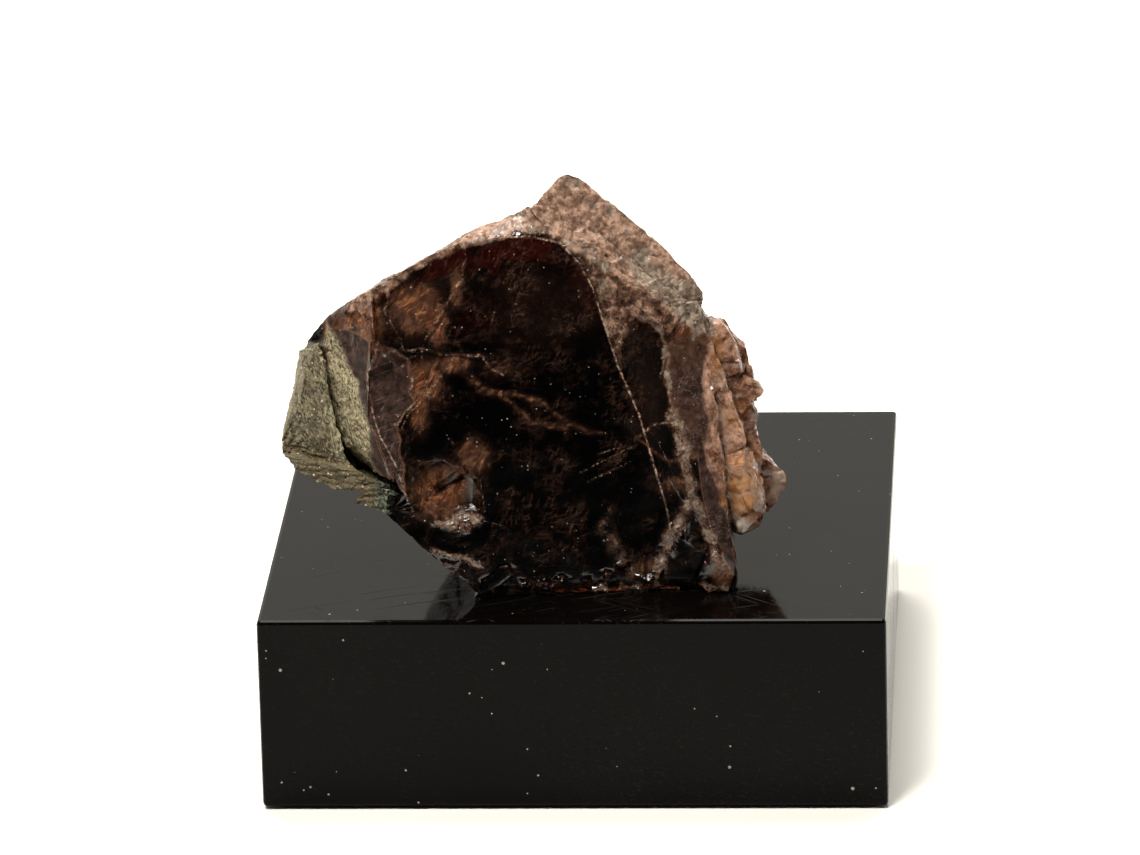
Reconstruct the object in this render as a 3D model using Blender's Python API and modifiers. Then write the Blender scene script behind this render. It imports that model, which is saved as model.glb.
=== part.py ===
"""A broken axinite crystal with a chip of its grey-green mother rock, standing on an acrylic display block.

Three separate pieces: the crystal (several intergrown individuals fused into one solid), the rock that is
still attached to its left side, and the block that both stand on. The origin is the middle of the block's
underside, +Z is up and -Y is the side that the large dark crystal face looks to.
Corners are given in millimetres as (x, y, height above the crystal's lowest point).
"""

import math
import random

import bmesh
import bpy
from mathutils import Matrix, Vector, noise

MM = 0.001

# Driving dimensions, in millimetres
BLOCK_SIDE = 40.0
BLOCK_HEIGHT = 12.7
BLOCK_EDGE_ROUNDING = 0.25
REST_GAP = 0.3
ROCK_GAP = 0.42
LONGEST_CRYSTAL_EDGE = 2.3
LONGEST_ROCK_EDGE = 1.8
MERGE_DISTANCE = 0.002
FLAT_ANGLE = math.radians(0.05)

# Unevenness of the surfaces: (wavelength in mm, share) pairs of one random field
RELIEF_WAVES = ((3.4, 1.0), (1.8, 0.4))
RELIEF_SEED = 11

# Planes y = at_origin + per_x * x + per_height * height that the larger crystal faces lie in
MAIN_FACE = (-15.3, 0.074, 0.14)
FOOT_FACE = (-15.21, 0.096, 0.14)
SHOULDER_FACE = (-24.3, 0.495, 0.571)
FLANK_FACE = (-11.9, 0.05, 0.045)
BACK_FACE = (-3.9, 0.03, -0.17)
UPPER_LEFT_SCAR = (-15.73, -0.039, 0.14)
LEFT_SCAR = (-16.34, -0.058, 0.14)


def clear_scene():
    for obj in list(bpy.data.objects):
        bpy.data.objects.remove(obj, do_unlink=True)


def collection(name):
    found = bpy.data.collections.new(name)
    bpy.context.scene.collection.children.link(found)
    return found


def material(name, colour, roughness, transmission=0.0, ior=1.5):
    made = bpy.data.materials.new(name)
    made.use_nodes = True
    shader = made.node_tree.nodes["Principled BSDF"]
    shader.inputs["Base Color"].default_value = (*colour, 1.0)
    shader.inputs["Roughness"].default_value = roughness
    shader.inputs["Metallic"].default_value = 0.0
    shader.inputs["Transmission Weight"].default_value = transmission
    shader.inputs["IOR"].default_value = ior
    return made


def on_face(face, outline, behind=0.0):
    """Corners of an outline of (x, height) pairs in a face's plane, or that far behind it."""
    at_origin, per_x, per_height = face
    return [(x, at_origin + per_x * x + per_height * h + behind, h) for x, h in outline]


def at_depth(y, outline):
    """Corners of an outline of (x, height) pairs, all at one depth."""
    return [(x, y, h) for x, h in outline]


def grown(corners, by):
    """Corners of the same convex shape with every face moved outwards by at least that much."""
    steps = (-by, by)
    return [(x + dx, y + dy, h + dh) for x, y, h in corners for dx in steps for dy in steps for dh in steps]


def above_block(corner):
    x, y, h = corner
    return Vector((x, y, h + BLOCK_HEIGHT + REST_GAP))


def helper_object(name, mesh, into):
    data = bpy.data.meshes.new(name)
    mesh.to_mesh(data)
    mesh.free()
    obj = bpy.data.objects.new(name, data)
    obj.hide_render = True
    obj.display_type = "WIRE"
    into.objects.link(obj)
    return obj


def in_fixed_order(mesh):
    """The same mesh, with points and faces in an order that only depends on where they are."""
    points = sorted(mesh.verts, key=lambda v: tuple(v.co))
    rank = {point: index for index, point in enumerate(points)}
    loops = []
    for face in mesh.faces:
        loop = [rank[v] for v in face.verts]
        first = loop.index(min(loop))
        loops.append(loop[first:] + loop[:first])
    ordered = bmesh.new()
    verts = [ordered.verts.new(point.co) for point in points]
    for loop in sorted(loops):
        ordered.faces.new([verts[index] for index in loop])
    ordered.normal_update()
    mesh.free()
    return ordered


def convex_block(name, corners, into):
    """A flat-faced block: the convex hull of its corners."""
    mesh = bmesh.new()
    for corner in corners:
        mesh.verts.new(above_block(corner))
    bmesh.ops.convex_hull(mesh, input=mesh.verts[:])
    bmesh.ops.delete(mesh, geom=[v for v in mesh.verts if not v.link_faces], context="VERTS")
    bmesh.ops.dissolve_limit(mesh, angle_limit=FLAT_ANGLE, verts=mesh.verts[:], edges=mesh.edges[:])
    bmesh.ops.recalc_face_normals(mesh, faces=mesh.faces[:])
    mesh.transform(Matrix.Scale(MM, 4))
    return helper_object(name, in_fixed_order(mesh), into)


def crumb(name, centre, radii, dice, into):
    """A small broken lump: the convex hull of random points on an ellipsoid."""
    corners = []
    for _ in range(13):
        direction = Vector([dice.gauss(0, 1) for _ in range(3)]).normalized()
        corners.append(tuple(c + r * d for c, r, d in zip(centre, radii, direction)))
    return convex_block(name, corners, into)


def solved(name, base, added, removed, into):
    """The base with other shapes joined to it and cut from it, as a plain mesh object."""
    for operation, others in (("UNION", added), ("DIFFERENCE", removed)):
        for other in others:
            step = base.modifiers.new(operation.title() + " " + other.name, "BOOLEAN")
            step.operation = operation
            step.object = other
            step.solver = "EXACT"
    graph = bpy.context.evaluated_depsgraph_get()
    data = bpy.data.meshes.new_from_object(base.evaluated_get(graph))
    base.modifiers.clear()
    obj = bpy.data.objects.new(name, data)
    into.objects.link(obj)
    return obj


def drop_fragments(mesh):
    """Keeps the largest body, without crumbs that a cut has set loose."""
    bodies = []
    waiting = set(mesh.faces)
    for start in mesh.faces[:]:
        if start not in waiting:
            continue
        waiting.remove(start)
        body = [start]
        for face in body:
            for neighbour in (f for edge in face.edges if edge.is_manifold for f in edge.link_faces):
                if neighbour in waiting:
                    waiting.remove(neighbour)
                    body.append(neighbour)
        bodies.append(body)
    bodies.sort(key=len)
    for body in bodies[:-1]:
        bmesh.ops.delete(mesh, geom=body, context="FACES")


def split_long_edges(mesh, longest):
    """Halves long edges, the longest first and one in each triangle at a time."""
    while True:
        chosen = []
        used_faces = set()
        for edge in sorted(mesh.edges, key=lambda e: -e.calc_length()):
            if edge.calc_length() <= longest * MM:
                break
            if used_faces.isdisjoint(edge.link_faces):
                used_faces.update(edge.link_faces)
                chosen.append(edge)
        if not chosen:
            return
        bmesh.ops.subdivide_edges(mesh, edges=chosen, cuts=1, use_single_edge=True)


def refine(obj, longest):
    """Makes one body of even triangles, so that the surface can carry relief."""
    mesh = bmesh.new()
    mesh.from_mesh(obj.data)
    bmesh.ops.remove_doubles(mesh, verts=mesh.verts[:], dist=MERGE_DISTANCE * MM)
    mesh = in_fixed_order(mesh)
    bmesh.ops.triangulate(mesh, faces=mesh.faces[:])
    drop_fragments(mesh)
    split_long_edges(mesh, longest)
    mesh.to_mesh(obj.data)
    mesh.free()


def smoothstep(low, high, value):
    share = min(1.0, max(0.0, (value - low) / (high - low)))
    return share * share * (3 - 2 * share)


def unevenness_at(point):
    """How uneven the surface is, in mm: nearly flat on the main face, rough elsewhere and on the rock."""
    x, y, z = point
    height = z - BLOCK_HEIGHT - REST_GAP
    main_y = MAIN_FACE[0] + MAIN_FACE[1] * x + MAIN_FACE[2] * height
    off_main = smoothstep(0.15, 1.4, y - main_y)
    right_edge = smoothstep(-0.5, 1.5, x - (6.4 - 0.29 * height))
    left_side = smoothstep(-12.6, -13.4, x)
    resting = smoothstep(0.0, 1.2, height)
    return (0.04 + 0.34 * max(off_main, 0.6 * right_edge, left_side)) * (0.15 + 0.85 * resting)


def make_uneven(obj):
    """Moves each point by one smooth random field, the same for all pieces, so that gaps stay open."""
    noise.seed_set(RELIEF_SEED)
    for vert in obj.data.vertices:
        point = vert.co / MM
        shift = Vector((0, 0, 0))
        for wavelength, share in RELIEF_WAVES:
            shift += share * noise.noise_vector(point / wavelength)
        vert.co = (point + unevenness_at(point) * shift) * MM


# Large blocks of the crystal

def core_corners():
    """The main individual: a thick plate that leans back, with the large dark face in front."""
    front = on_face(MAIN_FACE, [
        (-5.9, 0.1), (6.1, 0.3), (6.4, 3.7), (5.2, 8.2), (4.2, 11.6), (2.5, 16.4), (1.4, 19.5),
        (0.5, 21.2), (-0.5, 22.3), (-2.3, 22.8), (-4.5, 22.8), (-6.4, 22.5), (-12.0, 20.1),
        (-12.5, 15.8), (-12.5, 12.0), (-11.1, 7.0),
    ])
    right_edge = [
        (10.2, -14.3, 0.1), (10.3, -13.8, 1.6), (9.7, -13.0, 4.4), (9.0, -12.3, 7.2),
        (8.6, -11.5, 11.0), (8.6, -10.8, 14.5), (7.8, -10.5, 17.6), (3.4, -10.9, 21.2),
    ]
    top_edge = [(0.3, -11.2, 23.2), (-2.6, -11.1, 24.4), (-4.6, -11.2, 23.5), (-6.3, -11.7, 22.7)]
    back = on_face(BACK_FACE, [
        (-7.5, 0.6), (6.5, 0.4), (9.5, 4.0), (8.8, 10.0), (7.0, 16.0), (3.5, 20.5), (-2.5, 22.6),
        (-8.5, 20.4), (-12.0, 16.5), (-12.3, 9.5), (-10.3, 4.5),
    ])
    return front + right_edge + top_edge + back


def shoulder_corners():
    """The bevelled upper right, which rises to the peak a little behind the main face."""
    front = on_face(SHOULDER_FACE, [
        (-2.4, 24.4), (-1.5, 25.1), (-0.6, 25.9), (-0.1, 26.0), (1.0, 25.4), (2.5, 24.1),
        (4.4, 22.3), (6.2, 20.4), (7.5, 19.3), (8.4, 18.2), (6.3, 16.2), (2.8, 20.0), (-1.0, 22.6),
    ])
    back = at_depth(-6.4, [(-1.8, 23.4), (0.2, 24.4), (4.6, 20.6), (7.8, 17.0), (7.0, 13.0), (0.0, 16.0)])
    return front + back


def left_wing_corners():
    """The wedge that runs back from the main face's left edge to the rock."""
    edge = [(-12.1, -13.3, 20.0), (-12.7, -14.0, 15.8), (-12.7, -14.5, 12.0), (-11.4, -14.9, 7.2)]
    outer = [
        (-13.4, -11.7, 18.7), (-15.3, -10.4, 17.2), (-17.0, -9.6, 15.1), (-16.4, -9.6, 9.5),
        (-13.6, -11.0, 6.9),
    ]
    back = [(-11.5, -7.6, 19.0), (-15.2, -6.6, 14.5), (-14.2, -6.0, 7.6), (-9.0, -6.0, 6.0)]
    return edge + outer + back


def foot_corners():
    """The striated facet at the lower left, cut off obliquely towards the resting edge."""
    front = on_face(FOOT_FACE, [
        (-11.8, 5.3), (-11.0, 5.5), (-6.4, 4.9), (-4.2, 4.2), (-3.4, 1.4), (-3.6, 0.1), (-5.9, 0.0), (-8.6, 2.1),
    ])
    back = at_depth(-8.0, [(-9.6, 5.2), (-5.0, 5.0), (-4.0, 0.5), (-6.8, 1.6)])
    return front + back


def flank_corners():
    """The set-back right side, from which the small crystals grow."""
    front = on_face(FLANK_FACE, [(5.6, 17.2), (8.2, 17.8), (10.9, 8.6), (10.8, 5.6), (9.6, 3.4), (7.0, 7.0)])
    back = at_depth(-5.4, [(6.0, 16.5), (8.8, 14.0), (10.4, 8.5), (10.2, 4.5), (6.5, 5.0)])
    return front + back


def plate_corners():
    """The long smooth blade that runs down the front's right edge to the lower right corner."""
    front = [
        (8.3, -12.9, 7.5), (9.1, -12.8, 6.9), (9.7, -13.3, 4.0), (10.2, -13.9, 2.1),
        (10.4, -14.3, 0.2), (9.0, -14.7, 0.0), (8.1, -14.1, 3.6), (7.4, -13.3, 6.6),
    ]
    return front + at_depth(-9.5, [(8.4, 7.0), (9.4, 4.0), (9.9, 0.6), (8.0, 0.6)])


# Growth steps and broken plates on the hidden side

BACK_BLOCKS = {
    "back_plate": (
        on_face((-3.2, 0.05, -0.15), [(-7.4, 4.0), (-2.8, 1.4), (4.4, 1.6), (6.8, 6.0), (3.6, 12.6), (-5.4, 12.2)])
        + at_depth(-7.4, [(-9.2, 3.0), (-3.4, 0.5), (6.0, 0.4), (8.8, 6.2), (4.6, 15.2), (-7.8, 14.6)])
    ),
    "back_ridge": (
        on_face((-3.4, -0.06, -0.16), [(-5.8, 6.6), (-1.2, 3.4), (1.4, 3.8), (-0.4, 17.2), (-3.6, 18.8)])
        + at_depth(-8.4, [(-8.8, 7.0), (-1.2, 1.4), (3.6, 3.4), (1.8, 20.6), (-5.4, 21.2)])
    ),
    "back_corner": (
        on_face((-4.8, 0.1, -0.1), [(6.2, 3.2), (8.6, 3.6), (9.4, 8.0), (7.4, 11.8), (5.4, 9.0)])
        + at_depth(-8.6, [(4.6, 2.0), (10.2, 2.8), (10.4, 9.0), (7.8, 14.6), (4.6, 12.0)])
    ),
    "back_left": (
        on_face((-5.2, -0.07, -0.06), [(-11.4, 9.4), (-8.4, 8.0), (-7.6, 12.8), (-10.2, 15.6)])
        + at_depth(-9.0, [(-13.8, 8.2), (-7.0, 5.8), (-6.4, 14.0), (-11.4, 18.2)])
    ),
    "back_step": (
        on_face((-5.0, 0.02, -0.1), [(2.8, 14.2), (6.2, 12.8), (6.0, 16.6), (3.4, 19.6), (1.2, 18.0)])
        + at_depth(-9.0, [(1.0, 13.0), (7.8, 11.2), (7.4, 17.6), (3.2, 21.4), (-0.6, 19.0)])
    ),
}


# Small crystals down the right side, each rooted well inside the larger blocks

SMALL_CRYSTALS = {
    "upper_blade": (
        at_depth(-10.2, [(9.0, 15.7), (9.5, 16.3), (9.8, 15.9), (10.4, 14.8), (10.6, 13.5), (9.0, 13.7)])
        + at_depth(-6.8, [(7.2, 15.2), (9.6, 15.3), (10.6, 13.8), (7.4, 12.4)])
    ),
    "upper_lump": (
        at_depth(-10.1, [(9.2, 13.8), (10.5, 13.7), (10.7, 12.7), (9.6, 12.2), (9.0, 12.7)])
        + at_depth(-6.6, [(7.4, 14.4), (10.9, 13.6), (10.9, 12.2), (7.4, 11.4)])
    ),
    "rim_crust": (
        at_depth(-8.7, [(9.6, 15.9), (10.9, 13.9), (11.5, 11.9), (11.6, 10.3), (10.8, 10.2)])
        + at_depth(-5.8, [(7.4, 15.0), (10.2, 13.6), (11.1, 11.2), (10.6, 9.4), (7.4, 9.8)])
    ),
    "rim_knob": (
        at_depth(-8.5, [(10.5, 14.1), (10.95, 13.95), (11.05, 13.3), (10.5, 12.9)])
        + at_depth(-7.0, [(9.6, 14.2), (10.8, 13.9), (11.0, 13.1), (9.6, 12.8)])
    ),
    "side_tip": (
        at_depth(-10.2, [(9.3, 12.3), (9.3, 11.1), (10.6, 10.1)])
        + at_depth(-9.6, [(10.4, 12.6), (11.9, 11.8), (12.15, 11.4), (12.0, 11.1), (11.1, 10.4)])
        + at_depth(-7.2, [(7.6, 12.6), (11.2, 12.0), (11.7, 11.4), (10.6, 10.2), (7.6, 10.2)])
    ),
    "side_lump": (
        at_depth(-9.3, [(9.6, 10.3), (11.2, 10.4), (11.6, 9.6), (11.4, 8.8), (10.5, 8.4), (9.6, 8.7)])
        + at_depth(-6.4, [(7.6, 10.6), (11.2, 10.0), (11.1, 8.4), (7.6, 7.8)])
    ),
    "side_sliver": (
        at_depth(-9.3, [(10.8, 8.9), (11.6, 8.7), (11.75, 6.9), (10.8, 6.3)])
        + at_depth(-6.2, [(7.8, 9.2), (11.3, 8.4), (11.4, 6.6), (7.8, 5.6)])
    ),
    "side_prism": (
        at_depth(-11.9, [(8.9, 7.0), (10.0, 7.4), (10.9, 7.2), (11.4, 3.4), (10.6, 2.5), (9.6, 3.0)])
        + at_depth(-11.1, [(10.9, 8.3), (11.5, 6.9), (11.95, 4.4), (12.05, 3.9), (11.7, 2.6)])
        + at_depth(-7.8, [(7.8, 8.0), (11.2, 7.6), (11.6, 4.2), (11.0, 2.5), (7.8, 2.4)])
    ),
    "rear_tip": (
        at_depth(-7.9, [(11.2, 6.2), (12.1, 6.1), (12.9, 5.6), (13.25, 5.0), (13.25, 4.4), (12.2, 2.7)])
        + at_depth(-5.4, [(7.8, 6.8), (11.8, 6.0), (12.7, 5.0), (12.0, 3.2), (7.8, 2.4)])
    ),
    "contact_finger": (
        on_face(MAIN_FACE, [(-6.3, 0.15), (-5.6, 0.0), (-3.9, 1.3), (-4.1, 1.9), (-4.7, 1.8)], behind=-0.45)
        + on_face(MAIN_FACE, [(-6.4, 0.2), (-4.6, 0.1), (-3.5, 1.2), (-4.0, 2.1), (-5.0, 1.9)], behind=1.2)
    ),
    "resting_corner": (
        at_depth(-15.1, [(7.8, 0.5), (8.6, 0.1), (9.8, 0.1), (10.1, 0.9), (9.4, 2.2), (8.4, 1.7)])
        + at_depth(-12.6, [(7.4, 0.2), (10.3, 0.2), (10.2, 1.8), (8.2, 2.4)])
    ),
}

# Crumbs grown along the lower edge: (x, height, half width, half height)
LOWER_EDGE_CRUMBS = [
    (-3.0, 0.75, 0.7, 0.40), (-1.9, 0.55, 0.9, 0.50), (-0.6, 0.80, 0.6, 0.45), (0.5, 0.55, 0.9, 0.45),
    (1.9, 0.95, 0.7, 0.60), (3.1, 1.30, 0.8, 0.80), (4.4, 0.70, 0.8, 0.45), (5.6, 1.00, 0.7, 0.60),
    (6.6, 2.10, 0.6, 0.90), (7.2, 3.60, 0.5, 0.80),
]
CRUMB_HALF_DEPTH = 0.9
CRUMB_BEHIND_FACE = 0.3


def lower_edge_crumbs(into):
    dice = random.Random(7)
    crumbs = []
    for index, (x, height, half_width, half_height) in enumerate(LOWER_EDGE_CRUMBS):
        centre = on_face(MAIN_FACE, [(x, height)], behind=CRUMB_BEHIND_FACE)[0]
        radii = (half_width, CRUMB_HALF_DEPTH, half_height)
        crumbs.append(crumb(f"crumb_{index}", centre, radii, dice, into))
    return crumbs


# Pieces broken out of the crystal

def scar_cutters(into):
    """Wedges that take off the flat scars of the front and the notches of the rim."""
    upper_left = [(-12.6, 20.4), (-6.4, 23.2), (-6.7, 19.5), (-9.2, 15.8), (-10.9, 14.5), (-12.4, 16.2)]
    left = [(-12.9, 14.5), (-9.5, 15.7), (-9.0, 12.5), (-11.0, 9.1), (-11.6, 6.9), (-13.0, 9.8)]
    hollow = [(-10.5, 8.7), (-8.4, 8.9), (-5.6, 7.5), (-5.4, 4.9), (-8.4, 4.2), (-10.3, 4.9)]
    hollow_floor = [(-9.6, 7.8), (-8.4, 8.2), (-6.4, 7.0), (-6.4, 5.6), (-8.2, 5.0), (-9.4, 5.6)]
    cutters = {
        "upper_left_scar": on_face(MAIN_FACE, upper_left, behind=-0.8) + on_face(UPPER_LEFT_SCAR, upper_left),
        "left_scar": on_face(MAIN_FACE, left, behind=-0.8) + on_face(LEFT_SCAR, left),
        "hollow": (
            on_face(MAIN_FACE, hollow, behind=-0.4) + on_face(MAIN_FACE, hollow_floor, behind=1.1)
        ),
        "hollow_slot": (
            on_face(MAIN_FACE, [(-10.2, 6.4), (-6.6, 8.6), (-6.0, 7.4), (-9.8, 5.2)], behind=-0.4)
            + on_face(MAIN_FACE, [(-8.9, 6.6), (-7.4, 7.4), (-7.2, 6.9), (-8.7, 6.1)], behind=1.7)
        ),
        "top_notch": (
            at_depth(-15.4, [(-12.4, 22.6), (-5.2, 25.6), (-5.6, 23.2), (-9.2, 22.1)])
            + at_depth(-9.0, [(-10.4, 23.2), (-5.6, 25.4), (-5.9, 23.6), (-8.4, 22.8)])
        ),
        "shoulder_groove": (
            at_depth(-14.6, [(1.4, 22.4), (3.0, 22.6), (7.4, 17.8), (6.2, 17.2)])
            + at_depth(-11.3, [(2.2, 21.2), (2.8, 21.4), (6.4, 18.0), (6.0, 17.6)])
        ),
        "underside": (
            at_depth(-14.4, [(-2.8, -0.8), (7.4, -0.8), (6.6, 0.3), (-2.0, 0.2)])
            + at_depth(-4.0, [(-4.0, -0.8), (5.4, -0.8), (4.4, 1.2), (-3.0, 1.3)])
        ),
    }
    return [convex_block(name, corners, into) for name, corners in cutters.items()]


def build_crystal(into, helpers):
    core = convex_block("core", core_corners(), helpers)
    blocks = {
        "shoulder": shoulder_corners(),
        "left_wing": left_wing_corners(),
        "foot": foot_corners(),
        "flank": flank_corners(),
        "plate": plate_corners(),
        **BACK_BLOCKS,
        **SMALL_CRYSTALS,
    }
    added = [convex_block(name, corners, helpers) for name, corners in blocks.items()]
    added += lower_edge_crumbs(helpers)
    crystal = solved("axinite_crystal", core, added, scar_cutters(helpers), into)
    refine(crystal, LONGEST_CRYSTAL_EDGE)
    make_uneven(crystal)
    crystal.data.materials.clear()
    crystal.data.materials.append(material("axinite", (0.32, 0.13, 0.08), 0.12, transmission=1.0, ior=1.68))
    return crystal


# The rock

def rock_wedge_corners():
    """The chip of granular rock: two front faces that meet in a ridge, and a flat back."""
    left_side = at_depth(-10.6, [(-17.4, 14.7), (-17.8, 13.0), (-18.4, 9.9), (-18.9, 8.4), (-18.9, 7.7)])
    ridge = at_depth(-12.6, [(-16.4, 15.3), (-15.9, 12.0), (-15.1, 8.0), (-14.7, 7.2)])
    right_side = at_depth(-11.5, [(-16.0, 15.5), (-14.6, 12.6), (-13.7, 10.4), (-12.9, 7.0)])
    back = at_depth(-4.4, [(-17.0, 13.8), (-18.4, 11.0), (-18.2, 7.6), (-13.0, 6.6), (-12.0, 12.0)])
    return left_side + ridge + right_side + back


def rock_ledge_corners():
    """The layer under the chip that runs on to the right below the crystal's left side."""
    front = at_depth(-13.4, [
        (-18.4, 8.3), (-16.9, 7.7), (-14.6, 7.5), (-12.2, 7.0), (-11.0, 6.5), (-17.6, 7.4), (-15.4, 6.4),
        (-13.2, 5.9), (-10.9, 5.9),
    ])
    return front + at_depth(-5.2, [(-18.2, 8.0), (-12.0, 7.0), (-17.4, 6.8), (-12.4, 5.6)])


def rock_clump_corners():
    """The small greenish clump that hangs below the ledge, with a pale point to the left."""
    front = at_depth(-13.7, [(-13.3, 6.2), (-13.8, 5.2), (-12.4, 4.9), (-11.6, 4.5), (-10.7, 4.7), (-10.6, 6.2)])
    return front + at_depth(-9.0, [(-13.0, 6.2), (-12.6, 5.2), (-11.0, 5.2), (-11.0, 6.4)])


def build_rock(into, helpers):
    wedge = convex_block("rock_wedge", rock_wedge_corners(), helpers)
    added = [
        convex_block("rock_ledge", rock_ledge_corners(), helpers),
        convex_block("rock_clump", rock_clump_corners(), helpers),
    ]
    neighbours = {
        "room_core": core_corners(),
        "room_wing": left_wing_corners(),
        "room_foot": foot_corners(),
        "room_back": BACK_BLOCKS["back_left"],
    }
    removed = [convex_block(name, grown(corners, ROCK_GAP), helpers) for name, corners in neighbours.items()]
    rock = solved("matrix_rock", wedge, added, removed, into)
    refine(rock, LONGEST_ROCK_EDGE)
    make_uneven(rock)
    rock.data.materials.clear()
    rock.data.materials.append(material("schist", (0.33, 0.31, 0.24), 0.9))
    return rock


# The display block

def build_block(into):
    mesh = bmesh.new()
    bmesh.ops.create_cube(mesh, size=1.0)
    for vert in mesh.verts:
        vert.co.x *= BLOCK_SIDE * MM
        vert.co.y *= BLOCK_SIDE * MM
        vert.co.z = (vert.co.z + 0.5) * BLOCK_HEIGHT * MM
    data = bpy.data.meshes.new("display_block")
    mesh.to_mesh(data)
    mesh.free()
    block = bpy.data.objects.new("display_block", data)
    into.objects.link(block)
    bevel = block.modifiers.new("Polished edges", "BEVEL")
    bevel.width = BLOCK_EDGE_ROUNDING * MM
    bevel.segments = 2
    block.data.materials.append(material("black_acrylic", (0.012, 0.009, 0.008), 0.08, ior=1.49))
    return block


def main():
    clear_scene()
    shown = collection("Axinite crystal")
    helpers = collection("Construction shapes")
    build_crystal(shown, helpers)
    build_rock(shown, helpers)
    build_block(shown)


main()
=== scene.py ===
"""The looks of a broken axinite crystal with a chip of its mother rock, on a black acrylic block.

The crystal and the rock are refined copies of the CAD solids, with fine relief in their meshes, and with
masks that say where the crystal is frosted, veiled, crumbly or clear. Meshes are worked out in millimetres.
Places on the crystal's front are given as (x, height), with the height counted from its lowest point.
"""

import math

import bpy
import numpy as np
from mathutils import Matrix, Vector, noise


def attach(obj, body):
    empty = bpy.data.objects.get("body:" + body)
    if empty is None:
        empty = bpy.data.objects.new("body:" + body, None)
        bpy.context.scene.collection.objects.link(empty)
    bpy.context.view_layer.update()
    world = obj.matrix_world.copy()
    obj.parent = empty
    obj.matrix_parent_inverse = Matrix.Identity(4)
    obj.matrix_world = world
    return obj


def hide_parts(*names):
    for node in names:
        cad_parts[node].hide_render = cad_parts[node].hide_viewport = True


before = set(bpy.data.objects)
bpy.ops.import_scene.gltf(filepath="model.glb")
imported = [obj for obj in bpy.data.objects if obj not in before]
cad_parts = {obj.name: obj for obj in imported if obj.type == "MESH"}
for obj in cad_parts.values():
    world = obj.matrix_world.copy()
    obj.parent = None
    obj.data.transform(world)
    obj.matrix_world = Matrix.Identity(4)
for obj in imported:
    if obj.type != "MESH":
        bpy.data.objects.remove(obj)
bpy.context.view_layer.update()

MM = 0.001

# Sizes taken over from the CAD model, in millimetres
BLOCK_HEIGHT = 12.7
REST_GAP = 0.3
FOOT = BLOCK_HEIGHT + REST_GAP

# The photograph's camera, fitted to the block's edges, in metres
CAMERA_PLACE = Vector((0.031213, -0.522611, 0.203149))
CAMERA_FORWARD = Vector((-0.05793, 0.94137, -0.33237))
CAMERA_ROLL = math.radians(-1.4164)
CAMERA_LENS = 268.29
CAMERA_SENSOR = 36.0

# Mesh fineness and relief, in millimetres
CRYSTAL_EDGE = 0.36
FINE_REACH = 0.30
FRONT_LIMIT = -8.5
ROCK_EDGE = 0.17
SPLIT_ROUNDS = 6
SMOOTHING_ROUNDS = 26
SMOOTHING_STEP = 0.55
CREASE = math.radians(24)
SHARP = math.radians(30)
KEPT_GAP = 0.03

# The set, in metres: the floor fades to dark in front of the object, so that the big face reflects little
FLOOR_HALF_SIDE = 1.2
FLOOR_DEPTH = 0.0002
FLOOR_FADE = (-0.05, -0.11)
WORLD_COLOUR = (1.0, 0.955, 0.87)
WORLD_IN_FRONT = 0.04
WORLD_BEHIND = 0.95
LIGHT_COLOUR = (1.0, 0.97, 0.92)
LIGHTS = [
    # name, place, what it points at, size in metres, power in watts, spread in degrees
    ("TopBox", (0.0, 0.20, 0.50), (0.0, 0.08, 0.0), 0.30, 0.7, 80),
    ("FrontBox", (-0.12, -0.22, 0.46), (0.0, 0.0, 0.02), 0.16, 0.40, 60),
]

# What light does in each material
CRYSTAL_IOR = 1.68
CRYSTAL_SPECULAR = 0.12
CRYSTAL_ABSORPTION = (0.62, 0.33, 0.06)
CRYSTAL_DENSITY = 1900.0
ROCK_IOR = 1.5
ACRYLIC_IOR = 1.49
ACRYLIC_SPECULAR = 0.07

# Colours: a pair or three of them run from the darkest to the palest
CLEAR_BROWN = (0.34, 0.15, 0.085)
# Veil colours, the palest also standing for the painted glow of light through thin parts of the crystal
VEIL_AND_GLOW = ((0.030, 0.008, 0.004), (0.19, 0.052, 0.017), (0.60, 0.235, 0.09))
THREAD = (0.62, 0.36, 0.22)
# Painted sheen: the dim purple-grey reflection of the side faces, painted as their colour
PAINTED_SHEEN = ((0.014, 0.006, 0.004), (0.060, 0.033, 0.026))
PINK_FROST = ((0.26, 0.14, 0.09), (0.76, 0.48, 0.34))
GREY_FROST = ((0.18, 0.135, 0.10), (0.48, 0.39, 0.29))
SMALL_CRYSTALS = ((0.26, 0.10, 0.05), (0.90, 0.54, 0.38))
AMBER = (0.80, 0.34, 0.09)
PALE_TIP = (0.95, 0.82, 0.68)
DUST = ((0.14, 0.10, 0.07), (0.60, 0.48, 0.36))
CRUMBS = ((0.10, 0.066, 0.042), (0.54, 0.43, 0.32))
PALE_LINE = (0.66, 0.48, 0.36)
ROCK_CRUST = ((0.03, 0.024, 0.012), (0.56, 0.48, 0.30))
# Painted shade: the colour that the crystal's grooves are darkened towards
PAINTED_GROOVE_SHADE = (0.030, 0.014, 0.008)
SCRATCH = (0.24, 0.17, 0.15)
DUST_SPECK = (0.60, 0.54, 0.50)
# Painted light and shade on the rock: a shaded colour for its faces turned to the left, a lit colour for its
# faces turned to the right
ROCK_PAINTED_SHADE = ((0.035, 0.027, 0.014), (0.25, 0.205, 0.115))
ROCK_BROWN_TINT = (0.085, 0.066, 0.034)
ROCK_PAINTED_LIGHT = ((0.10, 0.086, 0.050), (0.42, 0.37, 0.235))
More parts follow.
